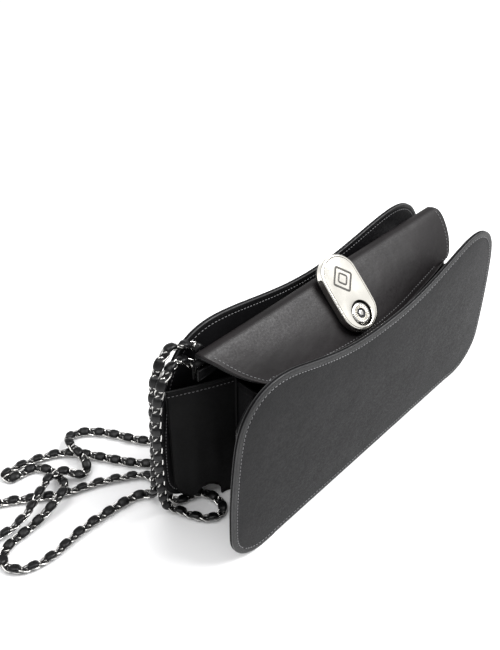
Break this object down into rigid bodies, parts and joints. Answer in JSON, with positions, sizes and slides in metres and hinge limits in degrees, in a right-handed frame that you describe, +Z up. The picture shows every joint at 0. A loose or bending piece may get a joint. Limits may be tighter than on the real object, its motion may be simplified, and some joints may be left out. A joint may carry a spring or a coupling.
{
  "type": "evening bag",
  "caption": "Small structured satin evening bag with humped outer panels, folded end gussets, a flap with a metal press clasp and a leather-laced chain strap.",
  "frame": {"origin": "middle of the bag's footprint on the table", "axes": "+X along the bag's length, the front panel and clasp face -Y, +Z up"},
  "size_m": [0.3447, 0.1446, 0.1235],
  "materials": {
    "satin": "black satin weave with a soft sheen",
    "binding": "black satin turned over fine cord, stitched",
    "board": "fibre stiffener, hidden",
    "lining": "black lining cloth",
    "pad": "black leather",
    "metal": "polished silver-coloured metal",
    "chain": "silver-coloured curb chain laced with black leather"
  },
  "bodies": {
    "bag": {"back_panel_satin": "satin", "back_panel_board": "board", "back_panel_lining": "lining", "back_panel_binding": "binding", "base_panel": "satin", "compartment_front_wall": "satin", "compartment_back_wall": "satin", "compartment_floor_lining": "lining", "compartment_left_end": "lining", "compartment_right_end": "lining", "gusset_left_front": "satin", "gusset_left_front_binding": "binding", "gusset_left_back": "satin", "gusset_left_back_binding": "binding", "gusset_right_front": "satin", "gusset_right_front_binding": "binding", "gusset_right_back": "satin", "gusset_right_back_binding": "binding", "flap_root": "satin", "catch_tab": "satin", "clasp_socket": "metal", "clasp_socket_washer": "metal", "eyelet_left_inner": "metal", "eyelet_left_outer": "metal", "eyelet_right_inner": "metal", "eyelet_right_outer": "metal", "strap_anchor_left": "metal", "strap_anchor_right": "metal", "strap_strand_outer": "chain", "strap_strand_inner": "chain"},
    "front": {"front_panel_satin": "satin", "front_panel_board": "board", "front_panel_lining": "lining", "front_panel_binding": "binding"},
    "flap": {"flap_satin": "satin", "flap_board": "board", "flap_lining": "lining", "clasp_plate": "metal", "clasp_pad": "pad", "clasp_back_plate": "metal", "clasp_rivet_left": "metal", "clasp_rivet_right": "metal"},
    "button": {"clasp_button": "metal"}
  },
  "joints": [
    {"name": "flap_hinge", "type": "hinge", "parent": "bag", "child": "flap", "pos_m": [0, 0.0146, 0.107], "axis": [-1, 0, 0], "range_deg": [0, 66]},
    {"name": "front_panel_lean", "type": "hinge", "parent": "bag", "child": "front", "pos_m": [0, -0.02875, 0], "axis": [1, 0, 0], "range_deg": [0, 10], "stiffness_Nm_per_rad": 0.1},
    {"name": "button_press", "type": "slide", "parent": "flap", "child": "button", "axis": [0, 0.7071, -0.7071], "range_m": [0, 0.0012], "stiffness_N_per_m": 600}
  ]
}
